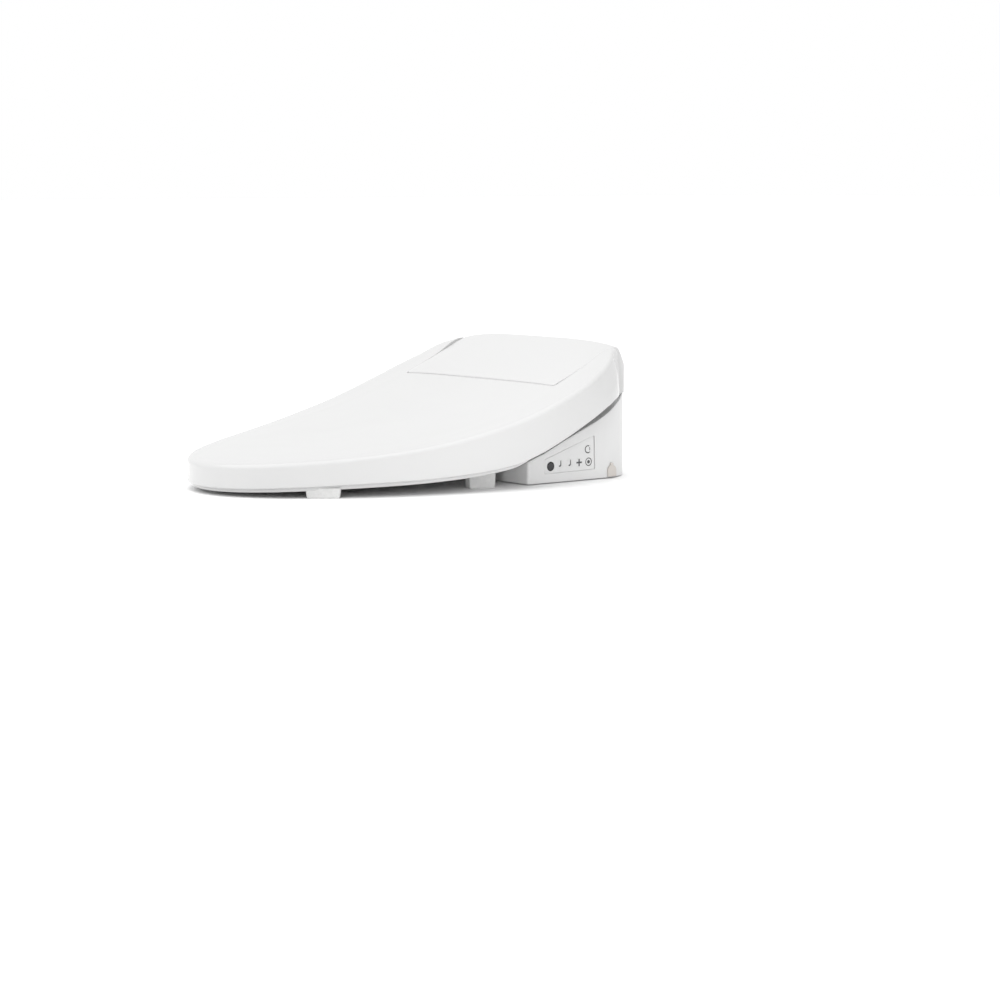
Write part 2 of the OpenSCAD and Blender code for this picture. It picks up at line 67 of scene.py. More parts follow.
LID_HALF, LID_TIP, LID_WIDE_Y = 193.5, -476.0, -133.0
EGG = 1.88
# centre and radius of the lid's rear corner
CORNER = (121.0, -47.0, 64.0)
NOTCH_HALF, NOTCH_FRONT = 142.5, -82.5
WALL = 3.0
TUB_HALF, TUB_FRONT, TUB_REAR = 160.0, -135.0, 43.0
TUB_CORNER_R, TUB_FRONT_R = 62.0, 4.0
TUB_CORNER = (TUB_HALF - TUB_CORNER_R, TUB_REAR - TUB_CORNER_R)
HINGE_Y, HINGE_Z = -10.0, 122.0
SHAFT_HOLE_R = 5.2
# on the left wall, as y and z
PANEL = [[-111, 11.5], [-33.5, 12.5], [-34.5, 52.8], [-110.5, 29]]
KEYS = {"rear_wash": (-87.2, 22), "front_wash": (-72.5, 22), "plus": (-58.4, 22), "stop": (-43.9, 22),
        "power": (-44.8, 37)}
IR = (-101.7, 20.2)
PANEL_FACE = 160.12
# on the right wall, as y and z
INLET = (-40, 22)
# on the rear or the front wall, as x and z
GLAND = (-40, 28)
NIGHT_LIGHT = (-45, 26)
# under the housing and the lid, as x and y
SCREWS = ((125, -122), (145, -30), (-125, -122), (-145, -15), (112, 28), (-112, 28))
FEET = ((140, -118), (-140, -118), (118, 5), (-118, 5))
LID_BUMPERS = ((60, -435), (-60, -435), (150, -215), (-150, -215))
PORT = (0.0, -133.0, 32.0)
WAND_SLOPE = math.radians(20)
SHARP_ANGLE = 38


# ---------- curves and outlines ----------

def curve(table):
    """A smooth curve through stations that never overshoots them."""
    xs, ys = np.array(table, float).T
    h = np.diff(xs)
    s = np.diff(ys) / h
    m = np.zeros(len(xs))
    m[0], m[-1] = s[0], s[-1]
    for i in range(1, len(xs) - 1):
        if s[i - 1] * s[i] > 0:
            w1, w2 = 2 * h[i] + h[i - 1], h[i] + 2 * h[i - 1]
            m[i] = (w1 + w2) / (w1 / s[i - 1] + w2 / s[i])

    def height(v):
        v = np.clip(v, xs[0], xs[-1])
        k = np.clip(np.searchsorted(xs, v, side="right") - 1, 0, len(h) - 1)
        t = (v - xs[k]) / h[k]
        return ((1 + 2 * t) * (1 - t) ** 2 * ys[k] + t * (1 - t) ** 2 * h[k] * m[k]
                + t * t * (3 - 2 * t) * ys[k + 1] + t * t * (t - 1) * h[k] * m[k + 1])
    return height


def flat(z):
    """A level surface."""
    return lambda x, y: x * 0 + z


def ramp(v, low, high):
    """0 below low, 1 above high, smooth between."""
    t = np.clip((v - low) / (high - low), 0, 1)
    return t * t * (3 - 2 * t)


def arc(cx, cy, r, a0, a1, n):
    a = np.radians(np.linspace(a0, a1, n))
    return np.stack([cx + r * np.cos(a), cy + r * np.sin(a)], 1)


def line(p, q, step):
    p, q = np.array(p, float), np.array(q, float)
    n = max(2, int(np.linalg.norm(q - p) / step) + 1)
    return p + (q - p) * np.linspace(0, 1, n)[:, None]


def bend(p, c, q, n):
    """A corner between p and q, rounded towards c."""
    t = np.linspace(0, 1, n)[:, None]
    return (1 - t) ** 2 * np.array(p) + 2 * t * (1 - t) * np.array(c) + t * t * np.array(q)


def join(*parts):
    """The parts as one open line with no point twice."""
    pts = np.concatenate(parts)
    keep = np.r_[True, np.linalg.norm(np.diff(pts, axis=0), axis=1) > 0.02]
    return pts[keep]


def mirrored(right):
    """A closed loop from its right half, which runs from front to rear and begins and ends on x = 0."""
    left = right[::-1] * [-1, 1]
    return np.concatenate([right, left[1:-1]])


def rounded(corners, radii, n=8):
    """A closed counterclockwise polygon with rounded corners."""
    corners = np.array(corners, float)
    out = []
    for i, (p, r) in enumerate(zip(corners, np.broadcast_to(radii, len(corners)))):
        a, b = corners[i - 1], corners[(i + 1) % len(corners)]
        u, v = (a - p) / np.linalg.norm(a - p), (b - p) / np.linalg.norm(b - p)
        half = math.acos(np.clip(u @ v, -1, 1)) / 2
        cut = r / math.tan(half)
        centre = p + (u + v) / np.linalg.norm(u + v) * r / math.sin(half)
        p0, p1 = p + u * cut - centre, p + v * cut - centre
        a0, a1 = math.atan2(p0[1], p0[0]), math.atan2(p1[1], p1[0])
        turn = (a1 - a0 + math.pi) % (2 * math.pi) - math.pi
        for t in np.linspace(0, 1, n):
            out.append(centre + r * np.array([math.cos(a0 + turn * t), math.sin(a0 + turn * t)]))
    return np.array(out)


def dense(loop, step):
    """The closed loop with extra points, so that no two are further apart than step."""
    out = []
    for p, q in zip(loop, np.roll(loop, -1, axis=0)):
        n = max(1, int(math.ceil(np.linalg.norm(q - p) / step)))
        out += [p + (q - p) * k / n for k in range(n)]
    return np.array(out)


def circle(r, n=48, cx=0.0, cy=0.0):
    return arc(cx, cy, r, 0, 360 - 360 / n, n)


def side_name(side):
    return "left" if side > 0 else "right"


def reach(side, near, far):
    """The lower and upper x of a piece that runs from near to far on one side."""
    return (near, far) if side > 0 else (-far, -near)


def normals(loop):
    """Unit normals that point to the left of the way round, which is into the material."""
    a, b = loop - np.roll(loop, 1, axis=0), np.roll(loop, -1, axis=0) - loop
    a /= np.linalg.norm(a, axis=1)[:, None]
    b /= np.linalg.norm(b, axis=1)[:, None]
    t = a + b
    t /= np.maximum(np.linalg.norm(t, axis=1), 1e-9)[:, None]
    n = np.stack([-t[:, 1], t[:, 0]], 1)
    miter = np.clip((n * np.stack([-a[:, 1], a[:, 0]], 1)).sum(1), 0.7, 1)
    return n / miter[:, None]


def distance(points, loop):
    """The distance of each point from a closed loop."""
    a, b = loop, np.roll(loop, -1, axis=0)
    d = b - a
    length = np.maximum((d ** 2).sum(1), 1e-12)
    out = np.empty(len(points))
    for i in range(0, len(points), 2000):
        p = points[i:i + 2000, None, :]
        t = np.clip(((p - a) * d).sum(2) / length, 0, 1)
        out[i:i + 2000] = np.sqrt((((a + d * t[:, :, None]) - p) ** 2).sum(2).min(1))
    return out


def inside(points, loops):
    """Which points are inside the loops, by the even-odd rule."""
    found = np.zeros(len(points), bool)
    for loop in loops:
        a, b = loop, np.roll(loop, -1, axis=0)
        for i in range(0, len(points), 4000):
            x, y = points[i:i + 4000, 0][:, None], points[i:i + 4000, 1][:, None]
            crosses = (a[:, 1] > y) != (b[:, 1] > y)
            dy = np.where(b[:, 1] == a[:, 1], 1, b[:, 1] - a[:, 1])
            left = x < (b[:, 0] - a[:, 0]) * (y - a[:, 1]) / dy + a[:, 0]
            found[i:i + 4000] ^= ((crosses & left).sum(1) % 2).astype(bool)
    return found


# ---------- mesh building ----------

def cap(loops, step):
    """The region inside the loops as triangles over the loops' own points and a grid of new ones."""
    edge = np.concatenate(loops)
    low, high = edge.min(0), edge.max(0)
    grid = []
    for k, y in enumerate(np.arange(low[1] + step / 2, high[1], step * 0.87)):
        xs = np.arange(step / 2 if k % 2 else 0.0, max(abs(low[0]), abs(high[0])), step)
        grid += [(x, y) for x in xs if low[0] < x < high[0]]
        grid += [(-x, y) for x in xs if x > 0 and low[0] < -x < high[0]]
    grid = np.array(grid, float).reshape(-1, 2)
    if len(grid):
        keep = inside(grid, loops)
        for loop in loops:
            keep &= distance(grid, loop) > step * 0.55
        grid = grid[keep]
    points = np.concatenate([edge, grid]) if len(grid) else edge
    edges, start = [], 0
    for loop in loops:
        n = len(loop)
        edges += [(start + i, start + (i + 1) % n) for i in range(n)]
        start += n
    found = geometry.delaunay_2d_cdt([tuple(p) for p in points], edges, [], 0, 1e-6)
    faces, origin = found[2], found[3]
    back = [o[0] if o else -1 for o in origin]
    tris = np.array([[back[i] for i in f] for f in faces])
    tris = tris[(tris >= 0).all(1)]
    tris = tris[inside(points[tris].mean(1), loops)]
    a, b, c = points[tris[:, 0]], points[tris[:, 1]], points[tris[:, 2]]
    area = (b[:, 0] - a[:, 0]) * (c[:, 1] - a[:, 1]) - (b[:, 1] - a[:, 1]) * (c[:, 0] - a[:, 0])
    flip = area < 0
    tris[flip] = tris[flip][:, ::-1]
    return grid, tris[np.abs(area) > 1e-9]


def ring(loop, inward, z):
    """The loop moved into the material by inward, at height z: a number, an array or a surface."""
    d = np.broadcast_to(np.asarray(inward, float), (len(loop),))
    p = loop + normals(loop) * d[:, None]
    z = z(p[:, 0], p[:, 1]) if callable(z) else z
    return np.column_stack([p, np.broadcast_to(z, (len(p),))])


def fillet(loop, r, surface, steps=6, start=0.0, up=True):
    """Rings that round the edge between the wall at start and a surface over it, or under it if not up."""
    out = []
    sign = 1 if up else -1
    for a in np.linspace(0, math.pi / 2, steps + 1):
        d = start + r * (1 - math.cos(a))
        q = ring(loop, d, surface)
        q[:, 2] -= sign * r * (1 - math.sin(a))
        out.append(q)
    return out if up else out[::-1]


def rows(low, high, n):
    """n rings between two rings."""
    return [low + (high - low) * t for t in np.linspace(0, 1, n + 2)[1:-1]]


def obj_from(name, verts, faces, place=None, angle=SHARP_ANGLE):
    """An object with smooth faces. Edges sharper than angle stay crisp."""
    if place is not None:
        verts = place(verts)
    mesh = bpy.data.meshes.new(name)
    mesh.from_pydata((verts * MM).tolist(), [], faces)
    mesh.validate()
    made = bpy.data.objects.new(name, mesh)
    bpy.context.scene.collection.objects.link(made)
    work = bmesh.new()
    work.from_mesh(mesh)
    bmesh.ops.remove_doubles(work, verts=work.verts, dist=1e-6)
    bmesh.ops.dissolve_degenerate(work, edges=work.edges, dist=1e-7)
    work.to_mesh(mesh)
    work.free()
    smooth(made, angle)
    return made


def smooth(thing, angle=SHARP_ANGLE):
    mesh = thing.data
    mesh.polygons.foreach_set("use_smooth", [True] * len(mesh.polygons))
    mesh.set_sharp_from_angle(angle=math.radians(angle))
    mesh.update()


def solid(name, stacks, top, bottom, steps, place=None):
    """A closed piece between two surfaces, whose caps have grids of the given steps.

    Each loop has a stack of rings, from the edge of its bottom cap to the edge of its top cap.
    """
    verts, faces, first = [], [], []
    for stack in stacks:
        n = len(stack[0])
        first.append(sum(len(v) for v in verts))
        base = first[-1]
        verts += stack
        for k in range(len(stack) - 1):
            a, b = base + k * n, base + (k + 1) * n
            faces += [(a + i, a + (i + 1) % n, b + (i + 1) % n, b + i) for i in range(n)]
    for which, surface, step in ((-1, top, steps[0]), (0, bottom, steps[1])):
        loops = [s[which][:, :2] for s in stacks]
        extra, tris = cap(loops, step)
        ids = np.concatenate([first[i] + (len(s) - 1 if which else 0) * len(s[0]) + np.arange(len(s[0]))
                              for i, s in enumerate(stacks)])
        start = sum(len(v) for v in verts)
        ids = np.concatenate([ids, start + np.arange(len(extra))]).astype(int)
        if len(extra):
            z = surface(extra[:, 0], extra[:, 1])
            verts.append(np.column_stack([extra, np.broadcast_to(z, (len(extra),))]))
        tris = ids[tris]
        faces += (tris if which else tris[:, ::-1]).tolist()
    return obj_from(name, np.concatenate(verts), faces, place)


def prism(name, loop, low, high, edge, holes=(), place=None, steps=(20, 20), cuts=4):
    """A flat plate or bar: the outline from low to high with rounded edges."""
    stacks = [fillet(outline, edge, flat(low), cuts, up=False) + fillet(outline, edge, flat(high), cuts)
              for outline in (loop, *holes)]
    return solid(name, stacks, flat(high), flat(low), steps, place)


def turned(name, profile, place, n=64):
    """A turned piece. The profile is a line of [radius, height], from the bottom to the top."""
    a = np.linspace(0, 2 * math.pi, n, endpoint=False)
    verts, faces = [], []
    for r, h in profile:
        verts.append(np.column_stack([r * np.cos(a), r * np.sin(a), np.full(n, h)]))
    for k in range(len(profile) - 1):
        p, q = k * n, (k + 1) * n
        faces += [(p + i, p + (i + 1) % n, q + (i + 1) % n, q + i) for i in range(n)]
    if profile[0] == profile[-1]:
        verts.pop()
        last = (len(profile) - 1) * n
        faces = [tuple(v - last if v >= last else v for v in f) for f in faces]
    else:
        faces.append(tuple(range(n))[::-1])
        faces.append(tuple(range((len(profile) - 1) * n, len(profile) * n)))
    return obj_from(name, np.concatenate(verts), faces, place)


def along_x(y=0.0, z=0.0):
    """Places a piece drawn in (Y, Z) with its height along X."""
    return lambda v: np.column_stack([v[:, 2], v[:, 0] + y, v[:, 1] + z])


def along_y(x, y, z, sign=1):
    """Places a piece whose height runs along Y, or along -Y."""
    return lambda v: np.column_stack([v[:, 0] + x, v[:, 2] * sign + y, -v[:, 1] * sign + z])


def at(x, y):
    return lambda v: v + [x, y, 0]


def along_wand(v):
    """The wand's own frame: its -Y runs out of the port."""
    c, s = math.cos(WAND_SLOPE), math.sin(WAND_SLOPE)
    return np.column_stack([v[:, 0] + PORT[0], v[:, 1] * c - v[:, 2] * s + PORT[1],
                            v[:, 1] * s + v[:, 2] * c + PORT[2]])


def into_port(v):
    """Places a piece whose height runs along the wand, from the port inwards."""
    return along_wand(np.column_stack([v[:, 0], v[:, 2], -v[:, 1]]))


def boolean(target, cutters):
    """The target less the cutters, which are used up."""
    for cutter in cutters:
        change = target.modifiers.new("cut", "BOOLEAN")
        change.operation = "DIFFERENCE"
        change.solver = "EXACT"
        change.object = cutter
    bpy.context.view_layer.update()
    done = bpy.data.meshes.new_from_object(target.evaluated_get(bpy.context.evaluated_depsgraph_get()))
    target.modifiers.clear()
    target.data = done
    for cutter in cutters:
        bpy.data.objects.remove(cutter)
    work = bmesh.new()
    work.from_mesh(done)
    bmesh.ops.remove_doubles(work, verts=work.verts, dist=2e-6)
    bmesh.ops.triangulate(work, faces=[f for f in work.faces if len(f.verts) > 4])
    work.to_mesh(done)
    work.free()
    smooth(target)
    return target


def box_cutter(low, high):
    (x0, y0, z0), (x1, y1, z1) = low, high
    loop = np.array([[x0, y0], [x1, y0], [x1, y1], [x0, y1]], float)
    return solid("cutter", [[ring(loop, 0, z0), ring(loop, 0, z1)]], flat(z1), flat(z0), (500, 500))


def side_cutter(loop, low, high):
    """Cuts an outline drawn in (Y, Z) out of the panel's side, from x low to x high."""
    return prism("cutter", loop, low, high, 0.02, place=along_x(), cuts=1)


def rod_cutter(r, low, high, place, n=64):
    return turned("cutter", [[r, low], [r, high]], place, n)


# ---------- materials ----------

class Surface:
    """A material in the making: its main shader and the nodes that feed it."""

    def __init__(self, name):
        self.material = bpy.data.materials.new(name)
        self.material.use_nodes = True
        self.nodes = self.material.node_tree.nodes
        self.link = self.material.node_tree.links.new
        self.inputs = self.nodes["Principled BSDF"].inputs

    def texture(self, kind, scale, detail=3.0, rough=0.5):
        where = self.nodes.new("ShaderNodeTexCoord")
        made = self.nodes.new("ShaderNodeTex" + kind)
        for label, value in (("Scale", scale), ("Detail", detail), ("Roughness", rough)):
            if label in made.inputs:
                made.inputs[label].default_value = value
        self.link(where.outputs["Object"], made.inputs["Vector"])
        return made

    def noise(self, scale, detail, rough=0.5):
        return self.texture("Noise", scale, detail, rough).outputs["Fac"]

    def colour(self, value, low, high, a=0.35, b=0.65):
        """The colour runs from low to high as value goes from a to b."""
        tones = self.nodes.new("ShaderNodeValToRGB")
        ends = tones.color_ramp.elements
        ends[0].position, ends[1].position = a, b
        ends[0].color, ends[1].color = (*low, 1), (*high, 1)
        self.link(value, tones.inputs["Fac"])
        self.link(tones.outputs["Color"], self.inputs["Base Color"])

    def gloss(self, value, low, high):
        """The roughness runs from low to high with value."""
        span = self.nodes.new("ShaderNodeMapRange")
        for label, number in (("From Min", 0.3), ("From Max", 0.7), ("To Min", low), ("To Max", high)):
            span.inputs[label].default_value = number
        self.link(value, span.inputs["Value"])
        self.link(span.outputs["Result"], self.inputs["Roughness"])

    def bump(self, *layers):
        """Stacks bump layers of (height, strength, distance in metres)."""
        last = None
        for height, strength, depth in layers:
            node = self.nodes.new("ShaderNodeBump")
            node.inputs["Strength"].default_value = strength
            node.inputs["Distance"].default_value = depth
            self.link(height, node.inputs["Height"])
            if last is not None:
                self.link(last, node.inputs["Normal"])
            last = node.outputs["Normal"]
        self.link(last, self.inputs["Normal"])

    def set(self, label, value):
        self.inputs[label].default_value = value


def tint(colour, k):
    return tuple(min(1.0, c * k) for c in colour)


def plastic(name, colour, rough, coat=0.0, grain=1500, depth=0.00004, vary=0.006):
    """Moulded plastic: faint mottling, orange-peel bump and uneven gloss from handling."""
    made = Surface(name)
    made.colour(made.noise(6, 2), tint(colour, 1 - vary), tint(colour, 1 + vary))
    made.gloss(made.noise(12, 2), rough - 0.012, rough + 0.012)
    made.set("IOR", 1.49)
    if coat:
        made.set("Coat Weight", coat)
        made.set("Coat Roughness", 0.08)
    made.bump((made.noise(130, 2, 0.4), 0.06, 0.00004), (made.noise(grain, 2), 0.12, depth))
    return made.material


def metal(name, colour, rough, brushed=0.0):
    """Metal with fine turning marks and uneven polish."""
    made = Surface(name)
    made.set("Metallic", 1.0)
    slow = made.noise(60, 4, 0.6)
    made.colour(slow, tint(colour, 0.94), tint(colour, 1.04))
    made.gloss(slow, rough - 0.06, rough + 0.08)
    made.set("Anisotropic", brushed)
    made.bump((made.noise(2600, 2), 0.25, 0.00001))
    return made.material


def rubber(name, colour):
    made = Surface(name)
    slow = made.noise(120, 5, 0.7)
    made.colour(slow, tint(colour, 0.93), tint(colour, 1.05))
    made.gloss(slow, 0.55, 0.7)
    made.bump((made.noise(3200, 3, 0.6), 0.4, 0.00004))
    return made.material


def lens(name, colour, clear=0.0, rough=0.08):
    made = Surface(name)
    slow = made.noise(200, 2)
    made.colour(slow, tint(colour, 0.9), tint(colour, 1.1))
    made.gloss(slow, rough - 0.03, rough + 0.04)
    made.set("Transmission Weight", clear)
    made.set("IOR", 1.53)
    return made.material


def circuit(name):
    """Green solder mask with paler copper traces and pads."""
    made = Surface(name)
    traces = made.texture("Brick", 260)
    for label, colour in (("Color1", (0.02, 0.12, 0.05, 1)), ("Color2", (0.015, 0.09, 0.04, 1)),
                          ("Mortar", (0.05, 0.26, 0.1, 1))):
        traces.inputs[label].default_value = colour
    traces.inputs["Mortar Size"].default_value = 0.03
    made.link(traces.outputs["Color"], made.inputs["Base Color"])
    made.gloss(made.noise(900, 2), 0.25, 0.4)
    made.bump((traces.outputs["Fac"], 0.4, 0.00003))
    return made.material


def foil(name):
    """Heating film: bronze-coloured foil with a printed meander."""
    made = Surface(name)
    wave = made.texture("Wave", 160)
    wave.inputs["Distortion"].default_value = 1.5
    made.colour(wave.outputs["Fac"], (0.45, 0.26, 0.08), (0.75, 0.5, 0.2), 0.45, 0.55)
    made.gloss(made.noise(500, 3, 0.6), 0.25, 0.45)
    made.set("Metallic", 0.7)
    made.bump((wave.outputs["Fac"], 0.5, 0.0001))
    return made.material


def carbon(name):
    """Granules of activated carbon."""
    made = Surface(name)
    cells = made.texture("Voronoi", 420).outputs["Distance"]
    made.colour(cells, (0.01, 0.01, 0.01), (0.06, 0.06, 0.065), 0.1, 0.7)
    made.gloss(made.noise(1200, 3, 0.6), 0.7, 0.9)
    made.bump((cells, 0.8, 0.0004))
    return made.material


WHITE = (0.566, 0.566, 0.565)
# the same white made a tenth brighter: painted fill light for the housing, its panel film and keys, to make
# up for the shade on the housing's walls
WHITE_WITH_PAINTED_FILL = tint(WHITE, 1.1)
MATERIALS = {}


def keep(maker, name, *values, **more):
    """Makes a material and keeps it under its slot's name."""
    MATERIALS[name] = maker(name, *values, **more)


keep(plastic, "lid_plastic", WHITE, 0.26, 0.25, grain=900, depth=0.00002)
keep(plastic, "cover_plastic", tint(WHITE, 1.01), 0.3, 0.2, grain=900, depth=0.00002)
# the housing takes the brightened white, whose extra brightness is painted fill light
keep(plastic, "housing_plastic", WHITE_WITH_PAINTED_FILL, 0.36, grain=1400, depth=0.00003)
keep(plastic, "seat_plastic", WHITE, 0.24, 0.3, grain=900, depth=0.00002)
keep(plastic, "plate_plastic", (0.62, 0.62, 0.61), 0.5, depth=0.00005)
# the panel film and keys on the housing's wall also take the white with painted fill light
for name in ("panel_film", "key_plastic"):
    keep(plastic, name, WHITE_WITH_PAINTED_FILL, 0.42, grain=2400, depth=0.00002, vary=0.008)
keep(lens, "smoked_lens", (0.012, 0.012, 0.014))
keep(lens, "clear_lens", (0.86, 0.87, 0.86), 0.35, 0.2)
keep(plastic, "button_plastic", (0.52, 0.49, 0.46), 0.45, grain=1600, depth=0.00003)
keep(plastic, "dark_plastic", (0.035, 0.036, 0.038), 0.45, vary=0.1)
keep(plastic, "grey_plastic", (0.3, 0.3, 0.305), 0.45, vary=0.05)
keep(plastic, "ivory_plastic", (0.7, 0.66, 0.55), 0.42, vary=0.03)
keep(rubber, "rubber_white", (0.62, 0.62, 0.616))
keep(rubber, "rubber_grey", (0.2, 0.2, 0.205))
keep(metal, "steel", (0.62, 0.62, 0.63), 0.28, 0.4)
keep(metal, "motor_can", (0.5, 0.51, 0.52), 0.38, 0.2)
keep(metal, "chrome_fitting", (0.78, 0.78, 0.79), 0.14)
keep(metal, "mesh_metal", (0.55, 0.56, 0.57), 0.35)
keep(circuit, "circuit_board")
keep(foil, "foil_heater")
keep(metal, "heater_element", (0.6, 0.52, 0.4), 0.4)
keep(carbon, "carbon_filter")
keep(lens, "clear_tube", (0.75, 0.82, 0.86), 0.6, 0.15)
INK = plastic("icon_ink", (0.06, 0.06, 0.062), 0.5, grain=3000, depth=0.00001, vary=0.1)


def finish_piece(thing, body, slot, replaced=(), material=None):
    thing.data.materials.clear()
    thing.data.materials.append(material or MATERIALS[slot])
    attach(thing, body)
    if replaced:
        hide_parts(*replaced)


# ---------- lid ----------

lid_top_line, lid_edge_line = curve(LID_TOP), curve(LID_EDGE)
seat_top_line, seat_edge_line = curve(SEAT_TOP), curve(SEAT_EDGE)
shoulder_line = curve(SHOULDER)
crown_line, cover_side_line = curve(CROWN), curve(COVER_SIDE)


def egg(half, widest, depth, n=110):
    """The right front quarter of an egg, from its tip to where it is widest."""
    c = np.cos(np.radians(np.linspace(0, 90, n)))
    return np.stack([half * np.sqrt(np.clip(1 - c ** EGG, 0, 1)), widest - depth * c], 1)


def tapered(half, drop, low, high):
    """A right side that runs from low to high along Y and comes in by drop."""
    ys = np.arange(low, high, 2.5)
    t = (ys - low) / (high - low)
    return np.stack([half - drop * t ** 2, ys], 1)


def lid_loop():
    cx, cy, r = CORNER
    a0 = 11.15
    join_x, join_y = cx + r * math.cos(math.radians(a0)), cy + r * math.sin(math.radians(a0))
    side = tapered(LID_HALF, LID_HALF - join_x, LID_WIDE_Y, join_y)
    a1 = math.degrees(math.acos((NOTCH_HALF + 3.5 - cx) / r))
    turn = arc(cx, cy, r, a0, a1, 70)
    tip_y = turn[-1, 1] + 1.1
    corner = bend(turn[-1], [NOTCH_HALF, tip_y], [NOTCH_HALF, tip_y - 3.8], 9)
    arm = line([NOTCH_HALF, tip_y - 3.8], [NOTCH_HALF, NOTCH_FRONT + 3], 2.5)
    inner = bend([NOTCH_HALF, NOTCH_FRONT + 3], [NOTCH_HALF, NOTCH_FRONT],
                 [NOTCH_HALF - 3, NOTCH_FRONT], 7)
    front = line([NOTCH_HALF - 3, NOTCH_FRONT], [0, NOTCH_FRONT], 3)
    tip = egg(LID_HALF, LID_WIDE_Y, LID_WIDE_Y - LID_TIP)
    return mirrored(join(tip, side, turn, corner, arm, inner, front))


def lid_rim():
    """The lid's outline without its notch."""
    cx, cy, r = CORNER
    tip = egg(LID_HALF, LID_WIDE_Y, LID_WIDE_Y - LID_TIP, 60)
    return mirrored(join(tip, arc(cx, cy, r, 11, 90, 16), [[0, cy + r]]))


LID_RIM = lid_rim()


def dome(x, y, half):
    """Height that the crown adds over the side edges."""
    return crown_line(y) * (1 - np.clip(np.abs(x) / half, 0, 1) ** 4)


def lid_surface(x, y):
    d = distance(np.column_stack([x, y]), LID_RIM)
    rear = ramp(y, -260, -90)
    droop = (2.2 - 2.0 * rear) * (1 - np.clip(d / 52, 0, 1)) ** 2
    return lid_top_line(y) + 3.4 - 3.0 * rear - droop + dome(x, y, 150)


def build_lid():
    loop = lid_loop()
    x, y = np.abs(loop[:, 0]), loop[:, 1]
    notch = (x < NOTCH_HALF + 0.01) & (y > NOTCH_FRONT - 0.01) & (y < 10.4)
    outer = ~notch
    # the top edge is soft outside and crisp round the notch
    arm_end = outer & (y > -20) & (x < 160)
    r = np.where(outer, 5.0 + 1.5 * ramp(y, -300, -120), 0.6)
    r = np.where(arm_end, 1.6 + 4.9 * ramp(x, NOTCH_HALF + 1, 156), r)
    top = lid_surface(loop[:, 0], loop[:, 1])
    # at the rear the skirt's lower edge rises towards the arms' ends
    base = lid_edge_line(y)
    rear = outer & (y > 0) & (x < 170)
    base = np.where(rear, base + (123.5 - base) * ramp(-x, -158.5, -155.2), base)
    base = np.where(notch, top - 6, base)
    inner_lip = 0.8
    lip = np.where(notch, inner_lip, 1.5)
    # the skirt leans in towards the top at the rear corners
    lean = np.where(outer, 7.0 * ramp(y, -75, -10) * ramp(x, 146, 163), 0)
    stack = []
    # the hollow side, from the ceiling's edge down the inner wall
    ceiling = lambda px, py: lid_surface(px, py) - WALL
    soft = 1.0
    for a in np.linspace(math.pi / 2, 0, 4):
        q = ring(loop, WALL + lean + soft * (1 - math.cos(a)), ceiling)
        q[:, 2] -= soft * (1 - math.sin(a))
        stack.append(q)
    high, low = stack[-1][:, 2], base + inner_lip
    stack += [ring(loop, WALL + lean * t ** 2, low + (high - low) * t) for t in np.linspace(1, 0, 7)[1:]]
    for a in np.linspace(0, math.pi / 2, 4)[1:]:
        stack.append(ring(loop, WALL - inner_lip * (1 - math.cos(a)), base + inner_lip * (1 - math.sin(a))))
    for a in np.linspace(math.pi / 2, 0, 6):
        stack.append(ring(loop, lip * (1 - math.cos(a)), base + lip * (1 - math.sin(a))))
    edge = fillet(loop, r, lid_surface, 9, start=lean)
    low, high = base + lip, edge[0][:, 2]
    stack += [ring(loop, lean * t ** 2, low + (high - low) * t) for t in np.linspace(0, 1, 9)[1:-1]] + edge
    return solid("lid_shell_smooth", [stack], lid_surface, ceiling, (6, 12))


def ear(side):
    """The boss inside the lid's arm that turns on the hinge shaft."""
    loop = np.concatenate([
        arc(HINGE_Y, HINGE_Z, 11, 200, 390, 26),
        [[-6, 140], [-30, 131], [-24, 121]],
    ])
    hole = circle(SHAFT_HOLE_R, 32, HINGE_Y, HINGE_Z)[::-1]
    low, high = reach(side, 154.5, 160.0)
    return prism(f"lid_hinge_boss_{side_name(side)}", dense(loop, 3), low, high, 0.6, [hole], along_x())


finish_piece(build_lid(), "lid", "lid_plastic", ["lid_shell"])
for side in (1, -1):
    finish_piece(ear(side), "lid", "lid_plastic", ["lid_shell"])

for i, (x, y) in enumerate(LID_BUMPERS):
    top = lid_surface(np.array([x]), np.array([y]))[0] - WALL + 0.2
    foot = float(seat_top_line(y)) + 0.35
    profile = [[0.5, foot], [4.6, foot], [5.8, foot + 0.35], [6.5, foot + 1.1], [6.8, foot + 2.2],
               [7.0, top]]
    bumper = turned(f"lid_bumper_{i + 1}", profile, at(x, y), 48)
    finish_piece(bumper, "lid", "rubber_white", ["lid_bumpers"])


# ---------- seat ring ----------

def seat_loop():
    """The ring's outer outline, a little inside the lid's."""
    inset, rear, rear_half, r = 4.4, -88.0, 186, 24.5
    half, cx = LID_HALF - inset, rear_half - inset - r
    tip = egg(half, LID_WIDE_Y, LID_WIDE_Y - LID_TIP - inset)
    side = tapered(half, half - cx - r, LID_WIDE_Y, rear - r)
    return mirrored(join(tip, side, arc(cx, rear - r, r, 0, 90, 16), line([cx, rear], [0, rear], 3)))


def opening_loop():
    """The opening's outline, clockwise."""
    half, front, widest, rear, r, drop = 104.0, -400.0, -235.0, -130.0, 70.0, 8
    cx = half - drop - r
    tip = egg(half, widest, widest - front, 60)
    side = tapered(half, drop, widest, rear - r)
    right = join(tip, side, arc(cx, rear - r, r, 0, 90, 26), line([cx, rear], [0, rear], 3))
    return mirrored(right)[::-1]


SEAT_OUT, SEAT_IN = seat_loop(), opening_loop()


def over_nose(x, y):
    """How much a point is over the housing's nose, from 0 to 1, and how high the room there is."""
    roof = 50.5 + (y + 136) * (25.5 / 66)
    near = ramp(-np.abs(x), -84, -70.5) * ramp(y, -148, -136)
    return near, roof


